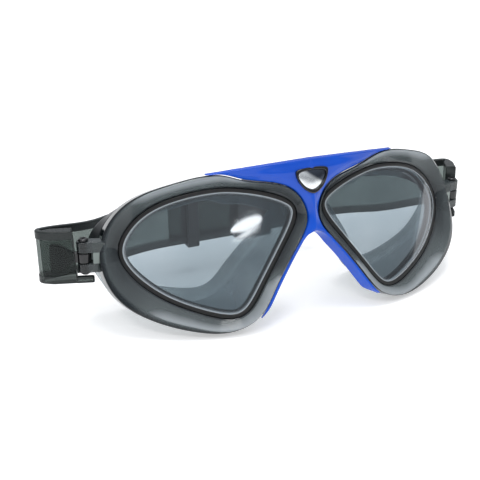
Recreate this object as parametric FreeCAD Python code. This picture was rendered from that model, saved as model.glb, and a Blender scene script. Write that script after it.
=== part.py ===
import FreeCAD, Part

# Mask-type swim goggles, in millimetres.
# +X is the wearer's left, +Y points at the face, +Z is up.
# Every shape is laid out about the middle of the nose bridge and the whole set is then
# moved so that the middle of its footprint, at the level it rests on, is the origin.

import math
import os

from FreeCAD import Rotation, Vector

# ---- Eye frame: each lens has its own (u, w, h) frame: outward, upward, forward ----
EYE_CENTRE = Vector(38.0, 4.05, -10.0)
WRAP_DEG = 17.5
RAKE_DEG = 18.7
LENS_RADIUS = 145.0
LENS_THICKNESS = 2.0

# Lens outline, anticlockwise from the temple end, as (u, w).
LENS_OUTLINE = [
    (33.0, 0.0), (26.0, 10.4), (12.5, 16.7), (-3.0, 19.1), (-10.6, 18.7),
    (-18.0, 17.5), (-28.4, 13.9), (-30.8, 9.2), (-26.2, -0.5), (-17.6, -15.2),
    (-11.6, -24.2), (-5.5, -26.4), (5.5, -23.7), (19.0, -17.6), (29.6, -8.8),
]
STATIONS = len(LENS_OUTLINE)

# ---- Lens gasket ----
GASKET_GAP = 0.1
GASKET_WIDTH = 1.1
GASKET_LIP = 0.4

# ---- Bezel: for each station, how far its crest and its outer edge lie outside the lens
# and how far they stand in front of the lens surface ----
BEZEL_SEAT = 1.4
CREST_OUT = [6.0, 6.2, 5.2, 5.2, 3.9, 4.0, 4.5, 4.9, 5.1, 5.1, 5.1, 5.1, 6.0, 7.4, 7.4]
CREST_RISE = [4.2, 5.3, 5.4, 5.4, 3.8, 4.2, 4.4, 3.4, 3.4, 3.4, 3.6, 3.8, 4.2, 4.8, 5.2]
RIM_OUT = [7.8, 7.4, 6.1, 6.1, 4.5, 4.5, 4.9, 5.2, 5.4, 5.4, 5.4, 5.9, 8.0, 9.8, 10.0]
RIM_RISE = [3.6, 4.8, 5.1, 5.1, 3.2, 3.6, 3.8, 2.8, 2.8, 2.8, 3.0, 3.3, 4.0, 4.6, 5.0]
BEZEL_WALL = 6.0
BEZEL_MIDDLE = 3.0
LEDGE_IN = 1.6
LEDGE_FRONT = -2.6
LEDGE_BACK = -4.4
GASKET_BACK = -2.4

# ---- Face skirt: depth of the face contact line and how far it lies inside the rim ----
SEAL_Y = [33.0, 32.0, 26.0, 21.0, 19.5, 18.0, 14.5, 12.5, 14.0, 19.0, 23.0, 25.0, 27.5, 30.5, 32.5]
SEAL_IN = [-2.0, 5.0, 6.0, 5.0, 4.5, 4.0, 4.0, 4.0, 4.0, 3.5, 1.5, 0.0, 0.0, 0.0, 0.0]
SKIRT_GAP = 0.1
SKIRT_WALL = 2.0
LIP_WIDTH = 6.5
LIP_THICKNESS = 1.8
WEB_HALF = 7.5
WEB_FRONT_Y = 6.5
WEB_THICKNESS = 2.2
WEB_SIDE_Z = -4.5
WEB_CROWN_Z = -1.0
WEB_HEIGHT = 11.0

# ---- Front frame ----
FRAME_GAP = 0.15
BROW_TIP_STATION = 3.0
BRIDGE_STATION = 6.0
APEX_STATION = 7.7
LEG_START_STATION = 7.4
LEG_END_STATION = 10.3
BROW_TIP = Vector(39.0, 6.2, 15.9)
BROW_MIDDLE = Vector(20.0, 2.3, 17.6)
BROW_TOP = Vector(0.0, 0.3, 18.6)
BRIDGE_APEX = Vector(0.0, -4.5, -8.2)
BROW_THICKNESS = 2.4
LEG_WIDTH = 1.1
LEG_DEPTH = 5.4

# ---- Badge on the brow ----
BADGE_TOP_HALF = 6.6
BADGE_TOP_Z = 15.2
BADGE_TIP_Z = 6.2
BADGE_RIM = 1.0
BADGE_PROUD = 0.9
BADGE_FRONT_Y = -2.4
BADGE_LEAN_DEG = 14.0
BADGE_FIT = 0.05
BADGE_RING_DEPTH = 3.0
BADGE_PLATE_DEPTH = 1.8
BADGE_PLATE_PROUD = 0.2
BADGE_REACH = 6.0

# ---- Hinges and strap clips; the hinge axes are vertical ----
PIN_X = 81.4
PIN_Y = 21.9
PIN_TOP = -6.4
PIN_BOTTOM = -20.4
PIN_RADIUS = 1.2
PIN_HEAD_RADIUS = 1.8
PIN_CLEARANCE = 0.06
KNUCKLE_RADIUS = 2.6
KNUCKLE_TOP = -11.8
KNUCKLE_BOTTOM = -15.6
EAR_TOP = -7.4
EAR_BOTTOM = -19.4
EAR_GAP = 0.2
LUG_LENGTH = 7.8
LUG_HALF = 2.2
LUG_STEM_GAP = 0.9
CLIP_LENGTH = 13.2
CLIP_THICKNESS = 2.2
CLIP_NECK = 3.4
CLIP_SHOULDER = 8.8
CLIP_SHOULDER_HALF = 4.6
CLIP_END_HALF = 5.4
CLIP_END_BOW = 1.2
# How far each clip is swung back from straight out, as it lies.
CLIP_REST_DEG = {"left": 44.5, "right": 0.0}

# ---- Strap: two halves, each moulded round its clip, that overlap behind the head ----
STRAP_TOP = -2.8
STRAP_WIDTH = 20.6
STRAP_THICKNESS = 1.8
SLEEVE_START = 3.8
SLEEVE_END = 13.9
SLEEVE_THICKNESS = 4.2
HORN_START = -3.2
HORN_TOP = -21.0
STRAP_GAP = 0.3
STRAP_DROP = 5.0
DROP_LENGTH = 36.0
STRAP_REAR_Y = 52.0
STRAP_LAYER = 3.8
TAIL_REACH = 37.0
# Plan view of each half past its clip: a tight fold to a new heading, then a gentle bend
# onto the straight middle.
FOLD_RADIUS = 2.2
FOLD_HEADING = 153.0
REAR_BEND_RADIUS = 60.0

# ---- Rear slider and keepers on the straight middle of the strap ----
SLIDER_LENGTH = 16.0
SLIDER_WALL = 1.6
SLIDER_BAR = 1.2
SLOT_CLEARANCE = 0.5
KEEPER_X = 28.0
KEEPER_LENGTH = 5.0
KEEPER_WALL = 1.2

SIDES = {"left": 1, "right": -1}
UP = Vector(0, 0, 1)

wrap = math.radians(WRAP_DEG)
rake = math.radians(RAKE_DEG)
AXIS_U = Vector(math.cos(wrap), math.sin(wrap), 0)
AXIS_H = Vector(math.sin(wrap) * math.cos(rake), -math.cos(wrap) * math.cos(rake), math.sin(rake))
AXIS_W = AXIS_H.cross(AXIS_U)
BACKWARD = Vector(0, math.cos(rake), -math.sin(rake))


def eye_point(u, w, h):
    """Point of the left eye's own frame, in the goggles' frame."""
    return EYE_CENTRE + AXIS_U * u + AXIS_W * w + AXIS_H * h


def lens_height(u):
    """Front surface of the lens: a cylinder about the eye's upright axis."""
    return math.sqrt(LENS_RADIUS ** 2 - u * u) - LENS_RADIUS


def outline_normals():
    """Outward direction, in (u, w), at each station of the lens outline."""
    normals = []
    for i in range(STATIONS):
        before = LENS_OUTLINE[i - 1]
        after = LENS_OUTLINE[(i + 1) % STATIONS]
        du = after[0] - before[0]
        dw = after[1] - before[1]
        length = math.hypot(du, dw)
        normals.append((dw / length, -du / length))
    return normals


NORMALS = outline_normals()


def per_station(value):
    """A list of one value per station, from a list or a single number."""
    return value if isinstance(value, list) else [value] * STATIONS


def station_points(out, rise):
    """Points around the left lens, a given way outside its edge and in front of its surface."""
    points = []
    for (u, w), (nu, nw), o, r in zip(LENS_OUTLINE, NORMALS, per_station(out), per_station(rise)):
        u_out = u + nu * o
        points.append(eye_point(u_out, w + nw * o, lens_height(u_out) + r))
    return points


def outline_parameters():
    """Curve parameter of each station, spaced by the square root of the gaps between them
    on the line half way across the bezel."""
    half_way = [
        (u + nu * BEZEL_MIDDLE, w + nw * BEZEL_MIDDLE)
        for (u, w), (nu, nw) in zip(LENS_OUTLINE, NORMALS)
    ]
    parameters = [0.0]
    for i in range(STATIONS):
        u, w = half_way[i]
        u_next, w_next = half_way[(i + 1) % STATIONS]
        parameters.append(parameters[-1] + math.sqrt(math.hypot(u_next - u, w_next - w)))
    return parameters


PARAMETERS = outline_parameters()


def parameter(station):
    """Curve parameter at a station number, which may lie between two stations."""
    whole = int(station)
    share = station - whole
    return PARAMETERS[whole] * (1 - share) + PARAMETERS[whole + 1] * share


def closed_curve(points):
    """Smooth closed curve through one point per station."""
    curve = Part.BSplineCurve()
    curve.interpolate(Points=points, PeriodicFlag=True, Parameters=PARAMETERS)
    return curve


def ring_solid(corner_points):
    """Solid ring whose cross-section's corners run along closed curves."""
    edges = [closed_curve(points).toShape() for points in corner_points]
    faces = []
    for i, edge in enumerate(edges):
        faces.append(Part.makeRuledSurface(edge, edges[(i + 1) % len(edges)]))
    return Part.Solid(Part.Shell(faces))


def loft_solid(sections):
    """Solid through open rows of corner points: ruled sides between rows, a cap at each end."""
    count = len(sections[0])
    spacing = [0.0]
    for before, after in zip(sections, sections[1:]):
        spacing.append(spacing[-1] + (after[0] + after[1] - before[0] - before[1]).Length)
    rails = []
    for k in range(count):
        curve = Part.BSplineCurve()
        curve.interpolate(Points=[section[k] for section in sections], Parameters=spacing)
        rails.append(curve.toShape())
    faces = [Part.makeRuledSurface(rails[k], rails[(k + 1) % count]) for k in range(count)]
    for section in (sections[0], sections[-1]):
        first = Part.makeLine(section[0], section[1])
        second = Part.makeLine(section[3], section[2])
        faces.append(Part.makeRuledSurface(first, second))
    shell = Part.Shell(faces)
    shell.sewShape()
    return Part.Solid(shell)


def mirrored(shape, side):
    """The shape itself on the wearer's left, its mirror image on the right."""
    if SIDES[side] > 0:
        return shape
    return shape.mirror(Vector(0, 0, 0), Vector(1, 0, 0))


# ---------------------------------------------------------------- lenses and bezels

def make_lens():
    """Curved plate cut from a cylindrical shell by the lens outline."""
    flat = [Vector(u, w, -LENS_RADIUS / 4) for u, w in LENS_OUTLINE]
    face = Part.Face(Part.Wire(closed_curve(flat).toShape()))
    prism = face.extrude(Vector(0, 0, LENS_RADIUS / 2))
    base = Vector(0, -LENS_RADIUS, -LENS_RADIUS)
    outer = Part.makeCylinder(LENS_RADIUS, 2 * LENS_RADIUS, base, Vector(0, 1, 0))
    inner = Part.makeCylinder(LENS_RADIUS - LENS_THICKNESS, 2 * LENS_RADIUS, base, Vector(0, 1, 0))
    lens = prism.common(outer.cut(inner)).Solids[0]
    lens.Placement = FreeCAD.Placement(EYE_CENTRE, Rotation(AXIS_U, AXIS_W, AXIS_H, "XYZ"))
    return lens


def make_gasket():
    """Seal ring between the lens edge and the bezel's seat."""
    outer = GASKET_GAP + GASKET_WIDTH
    return ring_solid([
        station_points(GASKET_GAP, GASKET_LIP),
        station_points(outer, GASKET_LIP),
        station_points(outer, GASKET_BACK),
        station_points(GASKET_GAP, GASKET_BACK),
    ])


def rim_points(back=0.0):
    """Outer edge of the bezel's front, moved a given way back along the lens's rake."""
    return [point + BACKWARD * back for point in station_points(RIM_OUT, RIM_RISE)]


def make_bezel():
    """Funnel-shaped bezel: a slope from the lens up to the crest, an outer wall and a ledge."""
    return ring_solid([
        station_points(BEZEL_SEAT, GASKET_LIP),
        station_points(CREST_OUT, CREST_RISE),
        rim_points(),
        rim_points(BEZEL_WALL),
        station_points(-LEDGE_IN, LEDGE_BACK),
        station_points(-LEDGE_IN, LEDGE_FRONT),
        station_points(BEZEL_SEAT, LEDGE_FRONT),
    ])


# ---------------------------------------------------------------- face skirt

def inward(points, distance):
    """The closed row of points moved towards its own middle, at right angles to the row."""
    moved = []
    for i, point in enumerate(points):
        along = points[(i + 1) % len(points)] - points[i - 1]
        normal = Vector(along.z, 0, -along.x).normalize()
        moved.append(point - normal * per_station(distance)[i])
    return moved


def at_depth(points, offset=0.0):
    """The row of points with each one at its face contact depth."""
    return [Vector(p.x, y + offset, p.z) for p, y in zip(points, SEAL_Y)]


def make_cup():
    """One eye cup of the skirt: a wall from the bezel to the face and a lip turned inward."""
    front = rim_points(BEZEL_WALL + SKIRT_GAP)
    seal = at_depth(inward(front, SEAL_IN))
    lip = at_depth(inward(seal, LIP_WIDTH), -LIP_THICKNESS)
    return ring_solid([
        front,
        seal,
        lip,
        [p - Vector(0, LIP_THICKNESS, 0) for p in lip],
        [p - Vector(0, 2 * LIP_THICKNESS, 0) for p in inward(seal, SKIRT_WALL)],
        inward(front, SKIRT_WALL),
    ])


def make_nose_web():
    """Saddle that joins the two cups behind the bridge, above the wearer's nose."""
    under = [
        Vector(-WEB_HALF, WEB_FRONT_Y, WEB_SIDE_Z),
        Vector(0, WEB_FRONT_Y, WEB_CROWN_Z),
        Vector(WEB_HALF, WEB_FRONT_Y, WEB_SIDE_Z),
    ]
    over = [point + UP * WEB_HEIGHT for point in under]
    edges = [
        Part.Arc(*under).toShape(),
        Part.makeLine(under[2], over[2]),
        Part.Arc(*reversed(over)).toShape(),
        Part.makeLine(over[0], under[0]),
    ]
    return Part.Face(Part.Wire(edges)).extrude(Vector(0, WEB_THICKNESS, 0))


def make_skirt():
    """One-piece skirt: two cups and the web between them."""
    cup = make_cup().cut(make_bezel())
    skirt = cup.fuse([mirrored(cup, "right"), make_nose_web()])
    return skirt.Solids[0]


# ---------------------------------------------------------------- front frame

def make_half_brow(curve):
    """Brow and bridge on the left of the middle line, between the bezel and the brow's top."""
    back = Vector(0, BROW_THICKNESS, 0)
    bow = Part.Arc(BROW_TIP, BROW_MIDDLE, BROW_TOP)
    pairs = [
        (curve.toShape(parameter(BROW_TIP_STATION), parameter(BRIDGE_STATION)), bow.toShape()),
        (
            curve.toShape(parameter(BRIDGE_STATION), parameter(APEX_STATION)),
            Part.makeLine(BROW_TOP, BRIDGE_APEX),
        ),
    ]
    solids = []
    for inner, outer in pairs:
        front = Part.makeRuledSurface(inner, outer)
        solids.append(front.extrude(back))
    return solids


def make_leg(curve):
    """Strip along the nose side of one bezel, from the bridge to the lens's lowest corner."""
    steps = 8
    sections = []
    for k in range(steps + 1):
        station = LEG_START_STATION + (LEG_END_STATION - LEG_START_STATION) * k / steps
        point = curve.value(parameter(station))
        tangent = curve.tangent(parameter(station))[0]
        side = tangent.cross(AXIS_H).normalize()
        wide = side * LEG_WIDTH
        deep = AXIS_H * -LEG_DEPTH
        sections.append([point, point + wide, point + wide + deep, point + deep])
    return loft_solid(sections)


def make_front_frame():
    """Hard overlay: brow, bridge and the two nose legs, with a recess for the badge."""
    curve = closed_curve(station_points([out + FRAME_GAP for out in RIM_OUT], RIM_RISE))
    half = make_half_brow(curve) + [make_leg(curve)]
    pieces = half + [mirrored(piece, "right") for piece in half]
    frame = pieces[0].fuse(pieces[1:])
    for side in SIDES:
        frame = frame.cut(mirrored(make_bezel(), side))
    return frame.cut(badge_prism(0.0)).Solids[0]


# ---------------------------------------------------------------- badge

def badge_prism(inset):
    """Rounded shield-shaped prism along Y, flat side up, smaller all round by the inset."""
    half = BADGE_TOP_HALF - inset
    top = BADGE_TOP_Z - inset
    tip = BADGE_TIP_Z + 1.4 * inset
    height = top - tip
    right_side = [
        (half * 0.84, top), (half, top - 1.4), (half * 0.83, tip + height * 0.48),
        (half * 0.48, tip + height * 0.16),
    ]
    left_side = [(-x, z) for x, z in reversed(right_side)]
    corners = [(0.0, top + 0.5)] + right_side + [(0.0, tip)] + left_side
    outline = Part.BSplineCurve()
    outline.interpolate(Points=[Vector(x, -BADGE_REACH, z) for x, z in corners], PeriodicFlag=True)
    return Part.Face(Part.Wire(outline.toShape())).extrude(Vector(0, 2 * BADGE_REACH, 0))


def badge_slab(front_y, thickness):
    """Slab that lies in the plane of the brow's front, which leans back towards the top."""
    reach = BADGE_TOP_Z + BADGE_REACH
    slab = Part.makeBox(2 * reach, thickness, reach, Vector(-reach, front_y, 0))
    slab.rotate(Vector(0, 0, BADGE_TIP_Z), Vector(1, 0, 0), -BADGE_LEAN_DEG)
    return slab


def make_badge_rim():
    """Raised black ring set into the brow."""
    ring = badge_prism(BADGE_FIT).cut(badge_prism(BADGE_RIM))
    return ring.common(badge_slab(BADGE_FRONT_Y - BADGE_PROUD, BADGE_RING_DEPTH)).Solids[0]


def make_badge_plate():
    """Plain plate inside the ring."""
    plate = badge_prism(BADGE_RIM + BADGE_FIT)
    slab = badge_slab(BADGE_FRONT_Y - BADGE_PLATE_PROUD, BADGE_PLATE_DEPTH)
    return plate.common(slab).Solids[0]


# ---------------------------------------------------------------- hinges and clips
# The hinge shapes are drawn for the left side in (t, n, z): t outward along the eye's own
# u axis from the hinge axis, n forward at right angles to it.

OUTWARD = Vector(math.cos(wrap), math.sin(wrap), 0)
FORWARD = Vector(math.sin(wrap), -math.cos(wrap), 0)
PIN_AXIS = Vector(PIN_X, PIN_Y, 0)


def hinge_box(t, n, z):
    """Box between pairs of t, n and z limits."""
    box = Part.makeBox(t[1] - t[0], n[1] - n[0], z[1] - z[0], Vector(t[0], n[0], z[0]))
    box.Placement = FreeCAD.Placement(PIN_AXIS, Rotation(OUTWARD, -FORWARD, UP, "XYZ")) * box.Placement
    return box


def hinge_cylinder(radius, z):
    """Upright cylinder about the hinge axis between two levels."""
    return Part.makeCylinder(radius, z[1] - z[0], PIN_AXIS + UP * z[0], UP)


def make_hinge_pin():
    """Pin with a small head at each end."""
    pin = hinge_cylinder(PIN_RADIUS, (PIN_BOTTOM, PIN_TOP))
    heads = [
        hinge_cylinder(PIN_HEAD_RADIUS, (EAR_TOP, PIN_TOP)),
        hinge_cylinder(PIN_HEAD_RADIUS, (PIN_BOTTOM, EAR_BOTTOM)),
    ]
    return pin.fuse(heads).removeSplitter().Solids[0]


def make_hinge_lug():
    """Two ears about the pin on a T-shaped arm that reaches out from the bezel."""
    ears = []
    for z in ((KNUCKLE_TOP + EAR_GAP, EAR_TOP), (EAR_BOTTOM, KNUCKLE_BOTTOM - EAR_GAP)):
        ear = hinge_cylinder(KNUCKLE_RADIUS, z)
        arm = hinge_box((-LUG_LENGTH, 0.0), (-LUG_HALF, LUG_HALF), z)
        ears.append(ear.fuse(arm))
    stem_end = -KNUCKLE_RADIUS - LUG_STEM_GAP
    stem = hinge_box((-LUG_LENGTH, stem_end), (-LUG_HALF, LUG_HALF), (EAR_BOTTOM, EAR_TOP))
    lug = stem.fuse(ears).cut(hinge_cylinder(PIN_RADIUS, (PIN_BOTTOM, PIN_TOP)))
    return lug.cut([make_bezel(), make_cup()]).removeSplitter().Solids[0]


def clip_outline():
    """Fan-shaped plate, upright in the plane of t and z."""
    middle = (KNUCKLE_TOP + KNUCKLE_BOTTOM) / 2
    profile = [
        (0.0, (KNUCKLE_TOP - KNUCKLE_BOTTOM) / 2),
        (CLIP_NECK, (KNUCKLE_TOP - KNUCKLE_BOTTOM) / 2),
        (CLIP_SHOULDER, CLIP_SHOULDER_HALF),
        (CLIP_LENGTH - CLIP_END_BOW, CLIP_END_HALF),
    ]
    upper = [Vector(t, 0, middle + half) for t, half in profile]
    lower = [Vector(t, 0, middle - half) for t, half in reversed(profile)]
    end = Part.Arc(upper[-1], Vector(CLIP_LENGTH, 0, middle), lower[0]).toShape()
    sides = Part.makePolygon(lower + upper).Edges
    return Part.Face(Part.Wire(sides + [end]))


def make_clip():
    """Knuckle on the pin and a fan-shaped plate that the strap's end is moulded round."""
    plate = clip_outline().extrude(Vector(0, CLIP_THICKNESS, 0))
    plate.translate(Vector(0, -CLIP_THICKNESS / 2, 0))
    plate.Placement = FreeCAD.Placement(PIN_AXIS, Rotation(OUTWARD, -FORWARD, UP, "XYZ"))
    plate.translate(FORWARD * (CLIP_THICKNESS / 2))
    knuckle = hinge_cylinder(KNUCKLE_RADIUS, (KNUCKLE_BOTTOM, KNUCKLE_TOP))
    bore = hinge_cylinder(PIN_RADIUS + PIN_CLEARANCE, (PIN_BOTTOM, PIN_TOP))
    return plate.fuse(knuckle).cut(bore).removeSplitter().Solids[0]


def at_rest(shape, side):
    """A clip-side shape drawn straight out on the left, swung back as it lies and mirrored."""
    turned = shape.copy()
    turned.rotate(PIN_AXIS, UP, CLIP_REST_DEG[side])
    return mirrored(turned, side)


def make_sleeve():
    """Thick moulded end of a strap half, closed round the clip's plate, with a horn that
    reaches past the hinge below the lug."""
    half = SLEEVE_THICKNESS / 2
    bottom = STRAP_TOP - STRAP_WIDTH
    block = hinge_box((SLEEVE_START, SLEEVE_END), (-half, half), (bottom, STRAP_TOP))
    horn = hinge_box((HORN_START, SLEEVE_START), (-half, 0.0), (bottom, HORN_TOP))
    return block.fuse(horn).cut(make_clip()).removeSplitter().Solids[0]


# ---------------------------------------------------------------- strap

def direction(heading):
    """Level unit vector at a heading in degrees, anticlockwise from +X."""
    angle = math.radians(heading)
    return Vector(math.cos(angle), math.sin(angle), 0)


def turn(point, heading, radius, new_heading, steps):
    """Points of a left-hand arc from a point and heading, in degrees, to a new heading."""
    centre = point + direction(heading + 90.0) * radius
    points = []
    for k in range(1, steps + 1):
        toward = heading + (new_heading - heading) * k / steps - 90.0
        points.append(centre + direction(toward) * radius)
    return points


def strap_route(side):
    """Plan view of one half, drawn on the left: from the clip round to its tail, as points."""
    start_heading = WRAP_DEG + CLIP_REST_DEG[side]
    start = PIN_AXIS + direction(start_heading) * (SLEEVE_END + STRAP_GAP)
    route = [start] + turn(start, start_heading, FOLD_RADIUS, FOLD_HEADING, 8)
    corner = route[-1]
    rear_y = STRAP_REAR_Y + (STRAP_LAYER if side == "left" else 0.0)
    rise = REAR_BEND_RADIUS * (1 + direction(FOLD_HEADING).x)
    length = (rear_y - rise - corner.y) / direction(FOLD_HEADING).y
    route += [corner + direction(FOLD_HEADING) * (length * k / 4) for k in range(1, 5)]
    route += turn(route[-1], FOLD_HEADING, REAR_BEND_RADIUS, 180.0, 4)
    last = route[-1]
    steps = 10
    for k in range(1, steps + 1):
        share = k / steps
        route.append(Vector(last.x * (1 - share) - TAIL_REACH * share, last.y, 0))
    return route


def make_strap(side):
    """Flat band on edge along its route, dropping a little over its first stretch."""
    route = strap_route(side)
    sections = []
    travelled = 0.0
    for i, point in enumerate(route):
        if i > 0:
            travelled += (point - route[i - 1]).Length
        ahead = route[min(i + 1, len(route) - 1)] - route[max(i - 1, 0)]
        across = Vector(-ahead.y, ahead.x, 0).normalize() * (STRAP_THICKNESS / 2)
        share = min(travelled / DROP_LENGTH, 1.0)
        drop = STRAP_DROP * share * share * (3 - 2 * share)
        top = point + UP * (STRAP_TOP - drop)
        bottom = top - UP * STRAP_WIDTH
        sections.append([top - across, top + across, bottom + across, bottom - across])
    return mirrored(loft_solid(sections), side)


def band_frame(length, wall, centre_x):
    """Closed loop round both layers of the strap's straight middle."""
    inner_y = STRAP_LAYER + STRAP_THICKNESS + 2 * SLOT_CLEARANCE
    inner_z = STRAP_WIDTH + 2 * SLOT_CLEARANCE
    low_y = STRAP_REAR_Y - STRAP_THICKNESS / 2 - SLOT_CLEARANCE
    low_z = STRAP_TOP - STRAP_DROP - STRAP_WIDTH - SLOT_CLEARANCE
    corner = Vector(centre_x - length / 2, low_y - wall, low_z - wall)
    outer = Part.makeBox(length, inner_y + 2 * wall, inner_z + 2 * wall, corner)
    long_edges = [e for e in outer.Edges if abs(e.tangentAt(0).x) > 0.9]
    outer = outer.makeFillet(wall * 0.8, long_edges)
    hole = Part.makeBox(length + 2, inner_y, inner_z, Vector(centre_x - length / 2 - 1, low_y, low_z))
    return outer.cut(hole)


def make_slider():
    """Adjuster: a frame with an upright bar between the two layers of the strap."""
    frame = band_frame(SLIDER_LENGTH, SLIDER_WALL, 0.0)
    middle_y = STRAP_REAR_Y + STRAP_LAYER / 2
    box = frame.BoundBox
    bar = Part.makeBox(
        SLIDER_LENGTH * 0.4, SLIDER_BAR, box.ZLength - SLIDER_WALL,
        Vector(-SLIDER_LENGTH * 0.2, middle_y - SLIDER_BAR / 2, box.ZMin + SLIDER_WALL / 2),
    )
    return frame.fuse(bar).removeSplitter().Solids[0]


# ---------------------------------------------------------------- the whole

def build():
    """Every piece by node name."""
    left_pieces = {
        "lens": make_lens(),
        "lens_gasket": make_gasket(),
        "bezel": make_bezel(),
        "hinge_lug": make_hinge_lug(),
        "hinge_pin": make_hinge_pin(),
    }
    pieces = {
        "front_frame": make_front_frame(),
        "badge_rim": make_badge_rim(),
        "badge_plate": make_badge_plate(),
        "face_skirt": make_skirt(),
        "rear_slider": make_slider(),
    }
    clip = make_clip()
    sleeve = make_sleeve()
    for side, sign in SIDES.items():
        for name, shape in left_pieces.items():
            pieces[f"{side}_{name}"] = mirrored(shape, side)
        pieces[f"{side}_strap_clip"] = at_rest(clip, side)
        pieces[f"{side}_strap_end"] = at_rest(sleeve, side)
        pieces[f"{side}_strap"] = make_strap(side)
        pieces[f"{side}_strap_keeper"] = band_frame(KEEPER_LENGTH, KEEPER_WALL, sign * KEEPER_X)
    return pieces


def main():
    """Stand the goggles on their lowest points, with the origin under the middle, and save."""
    os.makedirs("parts", exist_ok=True)
    pieces = build()
    box = Part.makeCompound(list(pieces.values())).optimalBoundingBox(False)
    shift = Vector(-(box.XMin + box.XMax) / 2, -(box.YMin + box.YMax) / 2, -box.ZMin)
    print("moved by", shift, "overall", box.XLength, box.YLength, box.ZLength)
    for name, shape in pieces.items():
        shape.translated(shift).exportStep(f"parts/{name}.step")


main()
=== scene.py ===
import math

import bmesh
import bpy
import numpy as np
from mathutils import Matrix, Vector


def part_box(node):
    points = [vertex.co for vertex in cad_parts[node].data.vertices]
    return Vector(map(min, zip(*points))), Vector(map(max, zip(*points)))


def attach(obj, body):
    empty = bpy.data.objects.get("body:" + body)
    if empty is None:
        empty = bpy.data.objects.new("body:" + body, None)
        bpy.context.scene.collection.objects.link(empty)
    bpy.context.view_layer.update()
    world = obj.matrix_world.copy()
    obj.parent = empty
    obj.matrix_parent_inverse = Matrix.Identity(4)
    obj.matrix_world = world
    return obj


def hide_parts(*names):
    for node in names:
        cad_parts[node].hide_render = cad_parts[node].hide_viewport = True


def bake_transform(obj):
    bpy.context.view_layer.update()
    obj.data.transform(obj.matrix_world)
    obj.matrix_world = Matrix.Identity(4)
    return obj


# Mask-type swim goggles. Every shape is laid out in millimetres about the middle of the nose
# bridge, mostly with the CAD model's driving sizes, and place() carries it into the row's frame.

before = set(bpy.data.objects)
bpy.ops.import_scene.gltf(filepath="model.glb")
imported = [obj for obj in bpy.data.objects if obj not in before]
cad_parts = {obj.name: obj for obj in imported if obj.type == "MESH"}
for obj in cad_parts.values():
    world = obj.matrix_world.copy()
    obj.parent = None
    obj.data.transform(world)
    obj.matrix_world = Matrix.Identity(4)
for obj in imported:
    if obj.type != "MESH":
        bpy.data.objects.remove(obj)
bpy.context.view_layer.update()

MM = 0.001
SIDES = {"left": 1, "right": -1}

# ---- Eye frame and lens outline, as (u, w), anticlockwise from the temple end ----
EYE_CENTRE = np.array([38.0, 4.05, -10.0])
WRAP = math.radians(17.5)
RAKE = math.radians(18.7)
LENS_RADIUS = 145.0
LENS_THICKNESS = 2.0
LENS_EDGE = 0.3
LENS_EDGE_STEPS = 4
LENS_SHARES = [0.08, 0.22, 0.38, 0.54, 0.7, 0.84, 0.94]
LENS_OUTLINE = np.array([
    (33.0, 0.0), (26.0, 10.4), (12.5, 16.7), (-3.0, 19.1), (-10.6, 18.7),
    (-18.0, 17.5), (-28.4, 13.9), (-30.8, 9.2), (-26.2, -0.5), (-17.6, -15.2),
    (-11.6, -24.2), (-5.5, -26.4), (5.5, -23.7), (19.0, -17.6), (29.6, -8.8),
])
STATIONS = len(LENS_OUTLINE)
AROUND = 192

# ---- Bezel, gasket and face skirt; a list of fifteen has one value per station ----
CREST_OUT = [6.0, 6.2, 5.2, 5.2, 3.9, 4.0, 4.5, 4.9, 5.1, 5.1, 5.1, 5.1, 6.0, 7.4, 7.4]
CREST_RISE = [4.2, 5.3, 5.4, 5.4, 3.8, 4.2, 4.4, 3.4, 3.4, 3.4, 3.6, 3.8, 4.2, 4.8, 5.2]
RIM_OUT = [7.8, 7.4, 6.1, 6.1, 4.5, 4.5, 4.9, 5.2, 5.4, 5.4, 5.4, 5.9, 8.0, 9.8, 10.0]
RIM_RISE = [3.6, 4.8, 5.1, 5.1, 3.2, 3.6, 3.8, 2.8, 2.8, 2.8, 3.0, 3.3, 4.0, 4.6, 5.0]
BEZEL_SEAT = 1.4
BEZEL_FLAT = 0.7
BEZEL_RADII = [0.25, 0.25, 0.6, 0.7, 0.5, 0.4, 0.3, 0.2]
# Share of painted highlight at each corner of the bezel's section, brightest at the crest.
BEZEL_PAINTED_HIGHLIGHT = [0.3, 0.65, 1.0, 0.2, 0.0, 0.0, 0.1, 0.2]
BEZEL_MIDDLE = 3.0
BEZEL_WALL = 6.0
LEDGE_IN = 1.6
LEDGE_FRONT = -2.6
LEDGE_BACK = -4.4
GASKET_GAP = 0.1
GASKET_WIDTH = 1.1
GASKET_OVERLAP = 0.35
GASKET_LIP = 0.4
GASKET_BACK = -2.4
GASKET_RADII = [0.45, 0.3, 0.3, 0.3]
SEAL_Y = [33.0, 32.0, 26.0, 21.0, 19.5, 18.0, 14.5, 12.5, 14.0, 19.0, 23.0, 25.0, 27.5, 30.5, 32.5]
SEAL_IN = [-2.0, 5.0, 6.0, 5.0, 4.5, 4.0, 4.0, 4.0, 4.0, 3.5, 1.5, 0.0, 0.0, 0.0, 0.0]
SKIRT_GAP = 0.1
SKIRT_WALL = 2.0
SKIRT_RADII = [0.5, 2.0, 0.5, 0.5, 1.6, 0.5]
LIP_WIDTH = 6.5
LIP_THICKNESS = 1.8
WEB_HALF = 7.5
WEB_FRONT_Y = 6.5
WEB_THICKNESS = 2.2
WEB_SIDE_Z = -4.5
WEB_CROWN_Z = -1.0
WEB_HEIGHT = 11.0
WEB_ROUND = 0.7

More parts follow.
